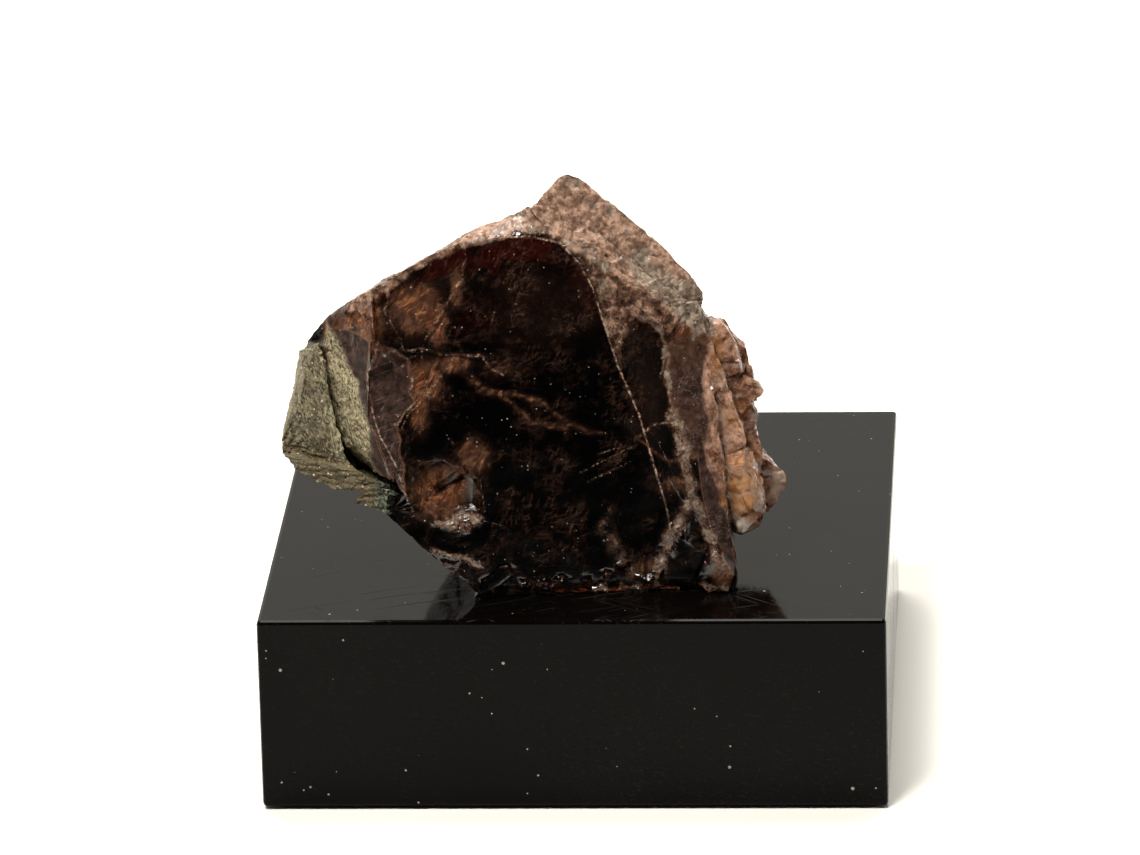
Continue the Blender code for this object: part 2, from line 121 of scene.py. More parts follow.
# Painted rim light: the pale colour of the rock's leftmost faces, as if lit from behind
ROCK_PAINTED_RIM_LIGHT = (0.27, 0.235, 0.16)
ROCK_LEDGE = ((0.028, 0.019, 0.007), (0.15, 0.11, 0.05))
ROCK_CLUMP = ((0.022, 0.028, 0.018), (0.20, 0.22, 0.15))
ROCK_FLAKE = (0.62, 0.58, 0.45)
ACRYLIC_BLACK = ((0.0014, 0.0009, 0.0007), (0.0022, 0.0018, 0.0015))
ACRYLIC_HAIR = (0.02, 0.02, 0.018)
ACRYLIC_DUST = (0.30, 0.29, 0.27)
PAPER_PALE = ((0.90, 0.885, 0.83), (0.92, 0.905, 0.86))
PAPER_DARK = (0.03, 0.03, 0.03)


# Features of the crystal's front, as (x, height) lines and outlines

RIDGE = [(-6.4, 22.5), (-4.5, 22.8), (-2.3, 22.8), (-0.5, 22.3), (0.5, 21.2), (1.4, 19.5), (2.2, 17.0),
         (3.0, 14.4), (4.3, 11.2), (5.1, 8.3), (5.9, 5.4), (6.2, 3.8)]
LEFT_EDGE_LINE = [(-12.2, 16.2), (-12.9, 14.2), (-12.8, 12.2), (-12.2, 10.1), (-11.1, 8.0), (-10.6, 6.5),
                  (-10.2, 5.4)]
WEB_LINES = [
    [(-11.8, 15.3), (-10.8, 15.6), (-9.0, 15.6), (-7.5, 15.4), (-5.7, 15.2), (-4.3, 14.0)],
    [(-10.1, 15.2), (-10.0, 13.8), (-10.0, 12.3), (-10.4, 11.7), (-11.3, 11.0)],
    [(-7.4, 15.1), (-8.2, 14.1), (-9.0, 12.8), (-10.2, 11.6), (-10.9, 10.6)],
    [(-6.5, 22.3), (-6.9, 20.1), (-7.8, 18.6), (-8.5, 17.2), (-9.4, 15.7)],
    [(-11.6, 19.4), (-11.6, 18.0), (-11.1, 16.5), (-10.6, 15.6)],
    [(5.9, 15.4), (5.8, 13.5), (6.3, 11.8), (6.5, 10.3)],
    [(3.9, 9.6), (5.4, 10.6), (6.5, 10.4)],
]
BRIGHT_SCRATCHES = [
    [(0.5, 7.6), (4.3, 9.4)],
    [(1.6, 8.7), (2.7, 9.1)],
    [(1.0, 7.0), (3.4, 8.1)],
]
VEIL_LINES = [
    [(-5.9, 13.0), (-4.5, 12.7), (-3.2, 12.8), (-1.7, 12.0), (-0.1, 10.7), (1.8, 10.0)],
    [(-6.4, 13.8), (-4.4, 12.6), (-2.6, 11.0), (-0.4, 10.4)],
    [(4.1, 9.9), (5.4, 8.6), (6.6, 8.0), (7.3, 7.2)],
]
# Spots of painted glow: light through thin parts of the crystal, painted in as orange colour over the real
# veils
GLOW_SPOTS = [
    ((-12.9, 17.3), (1.3, 1.9), 1.0), ((-8.4, 17.2), (0.8, 1.6), 0.8), ((-7.2, 19.6), (0.6, 1.7), 0.6),
    ((-9.1, 13.7), (1.2, 1.6), 0.9), ((-7.6, 14.8), (1.6, 0.7), 0.6), ((-9.7, 18.3), (2.3, 2.2), 0.6),
    ((-11.9, 9.5), (1.2, 2.6), 0.15), ((4.9, 12.0), (1.3, 3.4), 0.2), ((-9.6, 12.0), (0.8, 2.0), 0.6),
    ((-14.4, 16.6), (1.2, 1.0), 0.7),
    ((-8.3, 6.6), (2.3, 2.0), 1.0), ((-6.2, 8.8), (1.3, 1.5), 0.5), ((-4.2, 14.4), (1.6, 0.7), 0.3),
    ((6.5, 6.6), (1.1, 0.6), 0.5), ((7.2, 16.2), (1.3, 1.3), 0.8), ((4.4, 1.3), (2.2, 0.8), 0.4),
    ((9.6, 1.3), (1.2, 1.0), 0.9), ((-2.0, 18.4), (4.5, 3.0), 0.15),
]
CRUMB_LINES = [
    ([(6.4, 10.9), (6.9, 9.6), (7.1, 8.0), (7.6, 6.4), (7.3, 5.2), (6.5, 3.9), (5.8, 2.5), (5.5, 1.0)], 0.5),
    ([(7.7, 5.8), (8.1, 4.9), (8.6, 3.6), (8.9, 2.6), (9.1, 1.9)], 0.35),
    ([(-9.0, 2.8), (-8.0, 2.6), (-6.8, 2.3), (-5.8, 1.7)], 0.18),
    ([(-8.4, 1.95), (-7.2, 1.75)], 0.12),
    ([(4.8, 17.5), (5.7, 16.4), (6.1, 14.6), (6.3, 12.4)], 0.22),
    ([(2.2, 17.2), (2.5, 16.3)], 0.16),
    ([(-8.6, 4.5), (-7.4, 4.4), (-6.0, 4.7)], 0.3),
]
FROST = [(-6.8, 22.1), (-5.6, 22.5), (-4.3, 22.8), (-3.1, 23.0), (-1.5, 22.8), (-0.4, 22.2), (1.3, 21.0),
         (3.2, 19.7), (5.1, 18.3), (6.4, 17.2), (8.1, 15.6), (10.5, 18.5), (6.0, 24.0), (1.5, 28.0),
         (-2.0, 28.0), (-8.0, 23.5)]
HAZE = [(-0.5, 22.3), (0.5, 21.2), (1.4, 19.5), (2.2, 17.0), (3.0, 14.4), (4.2, 17.0), (5.6, 16.6),
        (7.5, 15.8), (6.4, 18.3), (4.0, 20.3), (1.9, 21.6)]
DUSTY = [(3.7, 20.6), (5.0, 20.5), (6.9, 19.2), (9.4, 17.6), (9.4, 15.0), (7.8, 15.5), (6.0, 17.8),
         (4.2, 19.3)]
RIM = [(-17.0, 16.0), (-12.3, 18.7), (-9.4, 20.8), (-6.7, 22.1), (-6.7, 24.0), (-13.0, 22.0), (-17.0, 18.0)]
BROWN_SIDE = [(6.0, 15.4), (6.0, 13.5), (6.1, 12.0), (6.8, 10.3), (7.7, 7.9), (8.6, 9.2), (9.0, 11.6),
              (8.9, 14.6), (7.8, 15.9)]
SLAB = [(7.9, 9.3), (8.7, 9.1), (9.1, 7.2), (9.5, 5.3), (10.1, 2.5), (10.4, 0.6), (9.5, 2.2), (8.8, 3.5),
        (8.2, 6.1)]
SCAR = [(-12.4, 16.0), (-10.8, 15.3), (-10.2, 14.9), (-10.0, 12.3), (-11.2, 10.9), (-10.6, 6.5),
        (-11.8, 7.9), (-12.8, 11.2), (-12.9, 14.1)]
WING = [(-15.4, 16.3), (-14.2, 16.5), (-12.7, 16.3), (-13.0, 14.0), (-12.8, 11.0), (-11.9, 8.0), (-11.4, 6.0),
        (-14.5, 6.0), (-15.4, 10.6)]
CRUST = [(-15.8, 16.4), (-15.2, 16.0), (-14.2, 14.5), (-13.4, 12.7), (-12.9, 10.7), (-12.9, 8.6),
         (-12.6, 7.4), (-11.6, 6.6), (-15.8, 6.2)]
SPARKLE = [(1.1, 3.9), (1.7, 4.5), (2.4, 5.5), (2.8, 5.4), (2.6, 4.0), (3.1, 2.8), (3.7, 1.9), (3.6, 0.9),
           (2.6, 1.9), (2.0, 2.9)]
PALE_LIP = [(-8.6, 4.7), (-7.7, 4.2), (-6.6, 4.0), (-5.5, 4.7), (-6.0, 5.1), (-7.5, 5.0)]
GEMS = [(8.5, 17.8), (8.5, 14.6), (8.4, 12.3), (8.8, 9.7), (8.4, 8.3), (8.9, 7.0), (9.5, 5.3), (10.4, 2.6),
        (15.0, 2.0), (15.0, 18.0)]
AMBER_SPOTS = [
    ((10.6, 5.8), (1.4, 2.6), 1.0), ((10.2, 10.2), (1.3, 1.0), 0.7), ((9.2, 14.4), (0.6, 2.0), 0.6),
    ((11.9, 6.0), (0.7, 1.6), 0.5),
]
PALE_TIPS = [
    ((10.4, 3.1), (1.1, 0.7), 1.0), ((12.3, 11.9), (0.6, 0.6), 0.7), ((12.9, 4.6), (0.5, 1.4), 0.5),
]


# Geometry helpers, all in millimetres

def welded(node):
    """A CAD node's points, each kept once, and its triangles."""
    mesh = node.data
    mesh.calc_loop_triangles()
    points = np.empty(len(mesh.vertices) * 3)
    mesh.vertices.foreach_get("co", points)
    faces = np.empty(len(mesh.loop_triangles) * 3, dtype=int)
    mesh.loop_triangles.foreach_get("vertices", faces)
    kept, place = np.unique(np.round(points.reshape(-1, 3) / MM, 3), axis=0, return_inverse=True)
    faces = place.reshape(-1)[faces].reshape(-1, 3)
    whole = (faces[:, 0] != faces[:, 1]) & (faces[:, 1] != faces[:, 2]) & (faces[:, 2] != faces[:, 0])
    return kept, faces[whole]


def sides_of(faces):
    """The mesh's edges, each once, and for each triangle the numbers of its three edges."""
    pairs = np.sort(faces[:, [0, 1, 1, 2, 2, 0]].reshape(-1, 2), axis=1)
    edges, place = np.unique(pairs, axis=0, return_inverse=True)
    return edges, place.reshape(-1, 3)


def with_middles(faces, middle):
    """Replaces each triangle by the ones that its side middles make; -1 stands for a side left whole."""
    count = (middle >= 0).sum(axis=1)
    parts = [faces[count == 0]]
    for turn in range(3):
        corners = np.roll(faces, -turn, axis=1)
        middles = np.roll(middle, -turn, axis=1)
        one = (count == 1) & (middles[:, 0] >= 0)
        a, b, c = corners[one].T
        ab = middles[one, 0]
        parts += [np.stack([a, ab, c], axis=1), np.stack([ab, b, c], axis=1)]
        two = (count == 2) & (middles[:, 2] < 0)
        a, b, c = corners[two].T
        ab, bc = middles[two, 0], middles[two, 1]
        parts += [np.stack(three, axis=1) for three in ((ab, b, bc), (a, ab, bc), (a, bc, c))]
    a, b, c = faces[count == 3].T
    ab, bc, ca = middle[count == 3].T
    parts += [np.stack(three, axis=1) for three in ((a, ab, ca), (ab, b, bc), (ca, bc, c), (ab, bc, ca))]
    return np.concatenate(parts)


def split(points, faces, coarse, fine_at):
    """Halves edges longer than the coarse length, and down to half of that where fine_at(middle) says so."""
    for _ in range(SPLIT_ROUNDS):
        edges, place = sides_of(faces)
        ends = points[edges]
        middles = ends.mean(axis=1)
        lengths = np.linalg.norm(ends[:, 0] - ends[:, 1], axis=1)
        too_long = lengths > coarse
        between = np.flatnonzero((lengths > coarse / 2) & ~too_long)
        too_long[between] = fine_at(middles[between])
        numbers = np.full(len(edges), -1)
        numbers[too_long] = len(points) + np.arange(too_long.sum())
        points = np.concatenate([points, middles[too_long]])
        faces = with_middles(faces, numbers[place])
    return points, faces


def face_directions(points, faces):
    a, b, c = points[faces].transpose(1, 0, 2)
    return np.cross(b - a, c - a)


def unit(vectors):
    return vectors / np.maximum(np.linalg.norm(vectors, axis=-1, keepdims=True), 1e-12)


def summed(places, values, count):
    """Adds rows of values up at the places they name."""
    return np.stack([np.bincount(places, weights=column, minlength=count) for column in values.T], axis=1)


def point_directions(points, faces):
    across = face_directions(points, faces)
    return unit(summed(faces.reshape(-1), np.repeat(across, 3, axis=0), len(points)))


def edge_turns(points, faces):
    """The edges and the angle that the surface turns through at each."""
    edges, place = sides_of(faces)
    directions = unit(face_directions(points, faces))
    total = summed(place.reshape(-1), np.repeat(directions, 3, axis=0), len(edges))
    half = np.clip(np.linalg.norm(total, axis=1) / 2, 0, 1)
    return edges, 2 * np.arccos(half)


def creased(points, faces, angle):
    """True for points on an edge that is sharper than the angle."""
    edges, turns = edge_turns(points, faces)
    marked = np.zeros(len(points), dtype=bool)
    marked[edges[turns > angle].reshape(-1)] = True
    return marked


def averaged(values, faces, rounds):
    """Spreads a value for each point over the points beside it."""
    edges, _ = sides_of(faces)
    both = np.concatenate([edges, edges[:, ::-1]])
    neighbours = np.bincount(both[:, 0], minlength=len(values))
    for _ in range(rounds):
        total = np.bincount(both[:, 0], weights=values[both[:, 1]], minlength=len(values))
        values = 0.5 * values + 0.5 * total / neighbours
    return values


def bends(points, faces):
    """How strongly the surface is ridged and how strongly it is grooved at each point."""
    directions = point_directions(points, faces)
    edges, _ = sides_of(faces)
    both = np.concatenate([edges, edges[:, ::-1]])
    along = unit(points[both[:, 1]] - points[both[:, 0]])
    rise = (along * directions[both[:, 0]]).sum(axis=1)
    neighbours = np.bincount(both[:, 0], minlength=len(points))
    bend = np.bincount(both[:, 0], weights=rise, minlength=len(points)) / neighbours
    ridged = averaged(ramp(-bend, 0.06, 0.25), faces, 1)
    grooved = averaged(ramp(bend, 0.06, 0.25), faces, 2)
    return ridged, grooved


def smoothed(points, faces, rounds, kept=False):
    """Evens out the soft facets of the CAD solid, but leaves its sharp edges and the kept points."""
    free = ~creased(points, faces, CREASE) & ~kept
    edges, _ = sides_of(faces)
    both = np.concatenate([edges, edges[:, ::-1]])
    neighbours = np.bincount(both[:, 0], minlength=len(points))[:, None]
    for _ in range(rounds):
        average = summed(both[:, 0], points[both[:, 1]], len(points)) / neighbours
        points = np.where(free[:, None], points + SMOOTHING_STEP * (average - points), points)
    return points


def wave(points, size, shift=0.0):
    """Smooth noise from -1 to 1 with lumps of about the given size."""
    return np.array([noise.noise(Vector(point) / size + Vector((shift, shift, shift))) for point in points])


def chipped(points, size):
    """Noise made of small tilted planes, as a broken surface has them."""
    heights = []
    for point in points:
        place = Vector(point) / size
        cell = noise.voronoi(place)[1][0]
        tilt = noise.cell_vector(cell * 17.3)
        offset = place - cell
        heights.append(offset.dot(tilt - Vector((0.5, 0.5, 0.5))) * 1.6 + tilt.z - 0.5)
    return np.array(heights)


def grains(points, size):
    """How far each point is from the middle of its grain, and a number for the grain."""
    distances = []
    numbers = []
    for point in points:
        near, cells = noise.voronoi(Vector(point) / size)
        distances.append(near[0])
        numbers.append(noise.cell(cells[0] * 31.7))
    return np.array(distances), np.array(numbers)


def ramp(values, low, high):
    """0 below low, 1 above high, with a smooth step between."""
    t = np.clip((values - low) / (high - low), 0, 1)
    return t * t * (3 - 2 * t)


def line_distance(places, line):
    """How far each (x, height) is from a line of straight pieces."""
    nearest = np.full(len(places), 1e9)
    for start, end in zip(line, line[1:]):
        start, end = np.array(start), np.array(end)
        along = end - start
        part = np.clip((places - start) @ along / (along @ along), 0, 1)
        nearest = np.minimum(nearest, np.linalg.norm(places - start - part[:, None] * along, axis=1))
    return nearest


def outline_depth(places, outline):
    """How far inside the outline each (x, height) lies, negative outside it."""
    closed = outline + outline[:1]
    inside = np.zeros(len(places), dtype=bool)
    x, height = places.T
    for (x0, h0), (x1, h1) in zip(closed, closed[1:]):
        if h0 != h1:
            crosses = ((h0 > height) != (h1 > height)) & (x < (x1 - x0) * (height - h0) / (h1 - h0) + x0)
            inside ^= crosses
    return np.where(inside, 1, -1) * line_distance(places, closed)


def near_line(places, line, width):
    return ramp(line_distance(places, line), width, 0.0)


def within(places, outline, softness):
    return ramp(outline_depth(places, outline), -softness, softness)


def spots(places, rows):
    """One soft oval mask for each row of centre, radii and strength."""
    masks = []
    for centre, radii, strength in rows:
        distance = np.linalg.norm((places - np.array(centre)) / np.array(radii), axis=1)
        masks.append(strength * ramp(distance, 1.3, 0.2))
    return masks


def strongest(masks):
    return np.max(np.stack(masks), axis=0)


def on_front(points):
    return np.stack([points[:, 0], points[:, 2] - FOOT], axis=1)


# The crystal's mesh and its masks

def near_thin_lines(middles):
    """True for places of the front beside the thin lines, where the mesh is finer."""
    places = on_front(middles)
    lines = [RIDGE, LEFT_EDGE_LINE] + WEB_LINES + BRIGHT_SCRATCHES + [line for line, _ in CRUMB_LINES]
    distance = np.min(np.stack([line_distance(places, line) for line in lines]), axis=0)
    return (distance < FINE_REACH) & (middles[:, 1] < FRONT_LIMIT)


def crystal_masks(points, directions):
    """How frosted, dusty, veiled and glowing (painted glow), sheened (painted sheen), lined, crumbly and
    crusted each point is, from 0 to 1.
    """
    places = on_front(points)
    wobble = np.stack([wave(points, 0.9), wave(points, 0.9, 40.0)], axis=1) * 0.28
    rough_places = places + wobble
    front = np.maximum(ramp(directions[:, 1], 0.4, 0.1), ramp(points[:, 1], -10.0, -11.5))
    patches = ramp(wave(points, 3.2, 7.0) + 0.4 * wave(points, 1.1, 9.0), 0.05, 0.5)
    behind = 1 - front
    fine = 0.6 + 0.4 * wave(points, 0.35, 3.0)

    masks = {}
    frost = strongest([
        within(rough_places, FROST, 0.35),
        0.6 * within(rough_places, RIM, 0.25),
        0.5 * within(rough_places, HAZE, 0.5),
    ])
    frost *= 0.85 + 0.15 * ramp(wave(points, 1.3, 13.0), -0.4, 0.2)
    masks["frost"] = np.maximum(frost * front, behind * np.maximum(0.75 * patches, frost))
    dust = strongest([within(rough_places, DUSTY, 0.4), 0.4 * within(rough_places, SPARKLE, 0.3)])
    masks["dust"] = dust * front
    # The veil mask: real veils, and painted glow where light comes through thin parts
    glow = strongest(spots(rough_places, GLOW_SPOTS)
                     + [0.45 * near_line(rough_places, line, 0.3) for line in VEIL_LINES]
                     + [0.3 * within(rough_places, BROWN_SIDE, 0.4)])
    masks["veil_and_glow"] = np.maximum(glow * front, behind * 0.8 * ramp(wave(points, 2.1, 21.0), 0.0, 0.4))
    # Where the side faces get their painted sheen
    painted_sheen = strongest([
        0.75 * within(rough_places, SCAR, 0.3),
        0.9 * within(places, WING, 0.15),
        within(places, SLAB, 0.15),
        0.55 * within(rough_places, BROWN_SIDE, 0.3),
    ])
    masks["painted_sheen"] = painted_sheen * front
    lines = strongest([0.85 * near_line(places, RIDGE, 0.15) * fine]
                      + [0.5 * near_line(places, LEFT_EDGE_LINE, 0.12)]
                      + [0.65 * near_line(rough_places, line, 0.2) * fine for line in WEB_LINES]
                      + [0.5 * near_line(places, line, 0.07) for line in BRIGHT_SCRATCHES])
    masks["line"] = lines * front
    crumb = strongest([near_line(rough_places, line, 1.8 * width) for line, width in CRUMB_LINES]
                      + [0.8 * within(rough_places, PALE_LIP, 0.2)])
    crumb *= 0.6 + 0.4 * ramp(wave(points, 0.6, 31.0), -0.3, 0.2)
    foot = ramp(places[:, 1], 1.0, 0.3) * ramp(places[:, 0], -4.0, -3.0)
    foot *= ramp(wave(points, 0.8, 5.0), 0.0, 0.35)
    masks["crumb"] = np.maximum(crumb * front, 0.7 * foot)
    masks["crust"] = within(rough_places, CRUST, 0.2) * front
    masks["gem"] = within(rough_places, GEMS, 0.2)
    masks["amber"] = strongest(spots(rough_places, AMBER_SPOTS))
    masks["tip"] = strongest(spots(rough_places, PALE_TIPS)) * masks["gem"]
    return masks


def crystal_relief(points, faces, masks):
    """How far each point of the crystal moves out along its direction."""
    directions = point_directions(points, faces)
    edge = creased(points, faces, SHARP).astype(float)
    flat_front = ramp(directions[:, 1], -0.75, -0.93) * (1 - masks["gem"])
    broken = (1 - flat_front) * (1 - 0.8 * masks["gem"]) * (1 - 0.8 * masks["painted_sheen"])
    broken = np.maximum(broken, masks["frost"])
    coarse = chipped(points, 0.75)
    small = chipped(points, 0.3)
    relief = 0.010 * wave(points, 1.3) + 0.003 * wave(points, 0.4)
    relief += broken * (0.045 * coarse + 0.022 * small)
    relief += masks["gem"] * (0.16 * chipped(points, 1.2) + 0.07 * chipped(points, 0.5))
    relief += masks["frost"] * (0.06 * coarse + 0.02 * small)
    relief += masks["crumb"] * (0.06 * coarse + 0.07 * small)
    relief += masks["line"] * (0.02 + 0.03 * small)
    relief += masks["dust"] * 0.04 * small
    relief += masks["crust"] * (0.06 * coarse + 0.10 * small)
    relief += masks["veil_and_glow"] * 0.012 * wave(points * np.array([3.0, 1.0, 0.8]), 0.8, 2.0) * (1 - masks["gem"])
    relief += masks["veil_and_glow"] * broken * 0.05 * coarse
    relief -= edge * 0.05 * np.maximum(0, wave(points, 0.5, 12.0) + 0.2)
    return directions * relief[:, None]


def lowered_foot(points):
    """Lets the crystal's lowest lumps down onto the block."""
    height = points[:, 2] - FOOT
    points[:, 2] -= (REST_GAP - KEPT_GAP) * ramp(height, 0.9, 0.0)
    return points


def kept_in_box(points, lowest, highest):
    return np.clip(points, lowest, highest)


def object_from(name, points, faces, masks):
    """A mesh object with one float attribute for each mask, sharp only at its sharp edges."""
    mesh = bpy.data.meshes.new(name)
    mesh.from_pydata((points * MM).tolist(), [], faces.tolist())
    mesh.shade_smooth()
    mesh.set_sharp_from_angle(angle=SHARP)
    for mask, values in masks.items():
        layer = mesh.attributes.new(mask, "FLOAT", "POINT")
        layer.data.foreach_set("value", values.astype(np.float32))
    made = bpy.data.objects.new(name, mesh)
    bpy.context.scene.collection.objects.link(made)
    return made


def fine_crystal():
    points, faces = welded(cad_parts["axinite_crystal"])
    lowest, highest = points.min(axis=0), points.max(axis=0)
    points, faces = split(points, faces, CRYSTAL_EDGE, near_thin_lines)
    in_gems = outline_depth(on_front(points), GEMS) > 0
    points = smoothed(points, faces, SMOOTHING_ROUNDS, in_gems)
    masks = crystal_masks(points, point_directions(points, faces))
    masks["ridged"], masks["grooved"] = bends(points, faces)
    points = points + crystal_relief(points, faces, masks)
    points = kept_in_box(points, lowest, highest)
    return object_from("CrystalBody", lowered_foot(points), faces, masks)


# The rock's mesh and its masks

def rock_masks(points, directions):
    places = on_front(points)
    ledge_top = 8.4 - 0.22 * (places[:, 0] + 17.4)
    drop = places[:, 1] - ledge_top + 0.12 * wave(points, 0.5)
    masks = {}
    masks["ledge"] = ramp(drop, 0.15, -0.15)
    masks["clump"] = ramp(places[:, 0] + 0.3 * wave(points, 0.6, 4.0), -13.0, -12.2) * ramp(drop, 0.3, -0.2)
    # Painted light and shade: faces turned to the right take the lit colour, faces turned to the left the
    # shaded one
    masks["lit"] = ramp(directions[:, 0] + 0.1 * wave(points, 0.8, 8.0), -0.25, 0.1)
    # Painted rim light on the faces that turn furthest to the left
    masks["painted_rim_light"] = ramp(directions[:, 0], -0.75, -0.95)
    return masks


def rock_relief(points, faces, masks):
    directions = point_directions(points, faces)
    distance, number = grains(points, 0.24)
    layers = np.sin(on_front(points)[:, 1] * 2 * math.pi / 0.42 + 2 * wave(points, 0.9))
    relief = 0.06 * (number - 0.5) - 0.03 * distance + 0.03 * chipped(points, 0.6)
    relief += masks["ledge"] * 0.04 * layers
    relief += masks["clump"] * 0.06 * chipped(points, 0.45)
    return directions * relief[:, None]


def fine_rock():
    points, faces = welded(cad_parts["matrix_rock"])
    lowest, highest = points.min(axis=0), points.max(axis=0)
    points, faces = split(points, faces, ROCK_EDGE, lambda middles: False)
    points = smoothed(points, faces, SMOOTHING_ROUNDS // 2)
    masks = rock_masks(points, point_directions(points, faces))
    points = kept_in_box(points + rock_relief(points, faces, masks), lowest, highest)
    return object_from("MatrixRock", points, faces, masks)


# Shader helpers

def blank_material(name):
    material = bpy.data.materials.new(name)
    material.use_nodes = True
    tree = material.node_tree
    tree.nodes.clear()
    shader = add(tree, "ShaderNodeBsdfPrincipled")
    output = add(tree, "ShaderNodeOutputMaterial")
    tree.links.new(shader.outputs[0], output.inputs["Surface"])
    return material, tree, shader, output


def add(tree, kind, inputs=None, **settings):
    """A new node with its settings, and its inputs linked or set."""
    made = tree.nodes.new(kind)
    for name, value in settings.items():
        setattr(made, name, value)
    for name, value in (inputs or {}).items():
        put(tree, made.inputs[name], value)
    return made


def put(tree, target, value):
    if isinstance(value, bpy.types.NodeSocket):
        tree.links.new(value, target)
    elif isinstance(value, tuple) and len(value) == 3 and target.type == "RGBA":
        target.default_value = (*value, 1.0)
    else:
        target.default_value = value


def maths(tree, operation, first, second=0.0, clamp=False):
    made = add(tree, "ShaderNodeMath", {0: first, 1: second}, operation=operation, use_clamp=clamp)
    return made.outputs[0]


def vectors(tree, operation, inputs):
    return add(tree, "ShaderNodeVectorMath", inputs, operation=operation).outputs[0]


def times(tree, first, second):
    return maths(tree, "MULTIPLY", first, second)


def plus(tree, first, second):
    return maths(tree, "ADD", first, second)


def most(tree, first, second):
    return maths(tree, "MAXIMUM", first, second)


def step(tree, value, low, high, to_low=0.0, to_high=1.0):
    inputs = {"Value": value, "From Min": low, "From Max": high, "To Min": to_low, "To Max": to_high}
    return add(tree, "ShaderNodeMapRange", inputs, interpolation_type="SMOOTHSTEP").outputs["Result"]


def blend(tree, factor, first, second):
    """The first colour where the factor is 0, the second where it is 1."""
    made = add(tree, "ShaderNodeMix", data_type="RGBA")
    put(tree, made.inputs[0], factor)
    put(tree, made.inputs[6], first)
    put(tree, made.inputs[7], second)
    return made.outputs[2]


def slide(tree, factor, first, second):
    """The first number where the factor is 0, the second where it is 1."""
    made = add(tree, "ShaderNodeMix", data_type="FLOAT")
    put(tree, made.inputs[0], factor)
    put(tree, made.inputs[2], first)
    put(tree, made.inputs[3], second)
    return made.outputs[0]


def millimetres(tree):
    place = add(tree, "ShaderNodeTexCoord").outputs["Object"]
    return vectors(tree, "SCALE", {0: place, "Scale": 1 / MM})


def turned(tree, place, angles, scale):
    """The place turned and stretched, to draw streaks along one direction."""
    inputs = {
        "Vector": place,
        "Rotation": tuple(math.radians(angle) for angle in angles),
        "Scale": tuple(1 / stretch for stretch in scale),
    }
    return add(tree, "ShaderNodeMapping", inputs, vector_type="TEXTURE").outputs[0]


def cloud(tree, place, scale, detail=3.0, roughness=0.55):
    inputs = {"Vector": place, "Scale": scale, "Detail": detail, "Roughness": roughness}
    return add(tree, "ShaderNodeTexNoise", inputs).outputs[0]


def bent(tree, place, scale, amount):
    """The place pushed about by noise, so that what is drawn there meanders."""
    push = add(tree, "ShaderNodeTexNoise", {"Vector": place, "Scale": scale, "Detail": 2.0}).outputs["Color"]
    centred = vectors(tree, "SUBTRACT", {0: push, 1: (0.5, 0.5, 0.5)})
    scaled = vectors(tree, "SCALE", {0: centred, "Scale": amount})
    return vectors(tree, "ADD", {0: place, 1: scaled})


def cells(tree, place, scale):
    return add(tree, "ShaderNodeTexVoronoi", {"Vector": place, "Scale": scale})


def bump(tree, height):
    """A surface direction for a height in millimetres."""
    return add(tree, "ShaderNodeBump", {"Strength": 1.0, "Distance": MM, "Height": height}).outputs[0]


def attribute(tree, name):
    return add(tree, "ShaderNodeAttribute", attribute_name=name).outputs["Fac"]


def specks(tree, place, scale, size, share):
    """Small round specks: in the given share of cells there is one of about that size, in cell widths."""
    made = cells(tree, place, scale)
    chance = add(tree, "ShaderNodeSeparateColor", {"Color": made.outputs["Color"]})
    there = step(tree, chance.outputs[0], 1 - share, 1 - share + 0.02)
    reach = times(tree, chance.outputs[1], size)
    inside = step(tree, maths(tree, "SUBTRACT", made.outputs["Distance"], reach), 0.02, -0.02)
    return times(tree, there, inside)


def streaks(tree, place, angles, lengthwise, crosswise, low, high):
    """Short straight scratches that all run one way."""
    stretched = turned(tree, place, angles, (lengthwise, crosswise, crosswise))
    return step(tree, cloud(tree, stretched, 1.0, 1.0, 0.4), low, high)


def filaments(tree, place, scale, width):
    """Wispy threads, 1 in their middle, along the level lines of a noise."""
    level = maths(tree, "ABSOLUTE", maths(tree, "SUBTRACT", cloud(tree, place, scale, 4.0, 0.6), 0.5))
    return step(tree, level, width, 0.0)


def broken_up(tree, mask, grain):
    """The mask as scattered patches: none where it is 0, all where it is 1, the grain's peaks between."""
    present = maths(tree, "MULTIPLY", mask, 3.0, clamp=True)
    return times(tree, present, step(tree, plus(tree, grain, times(tree, mask, 0.75)), 0.60, 1.15))


# Materials: a look is a colour, how much light passes, and a roughness

def laid_over(tree, mask, under, over):
    """The second look shown over the first where the mask is 1."""
    colour = blend(tree, mask, under[0], over[0])
    passing = slide(tree, mask, under[1], over[1])
    rough = slide(tree, mask, under[2], over[2])
    return colour, passing, rough


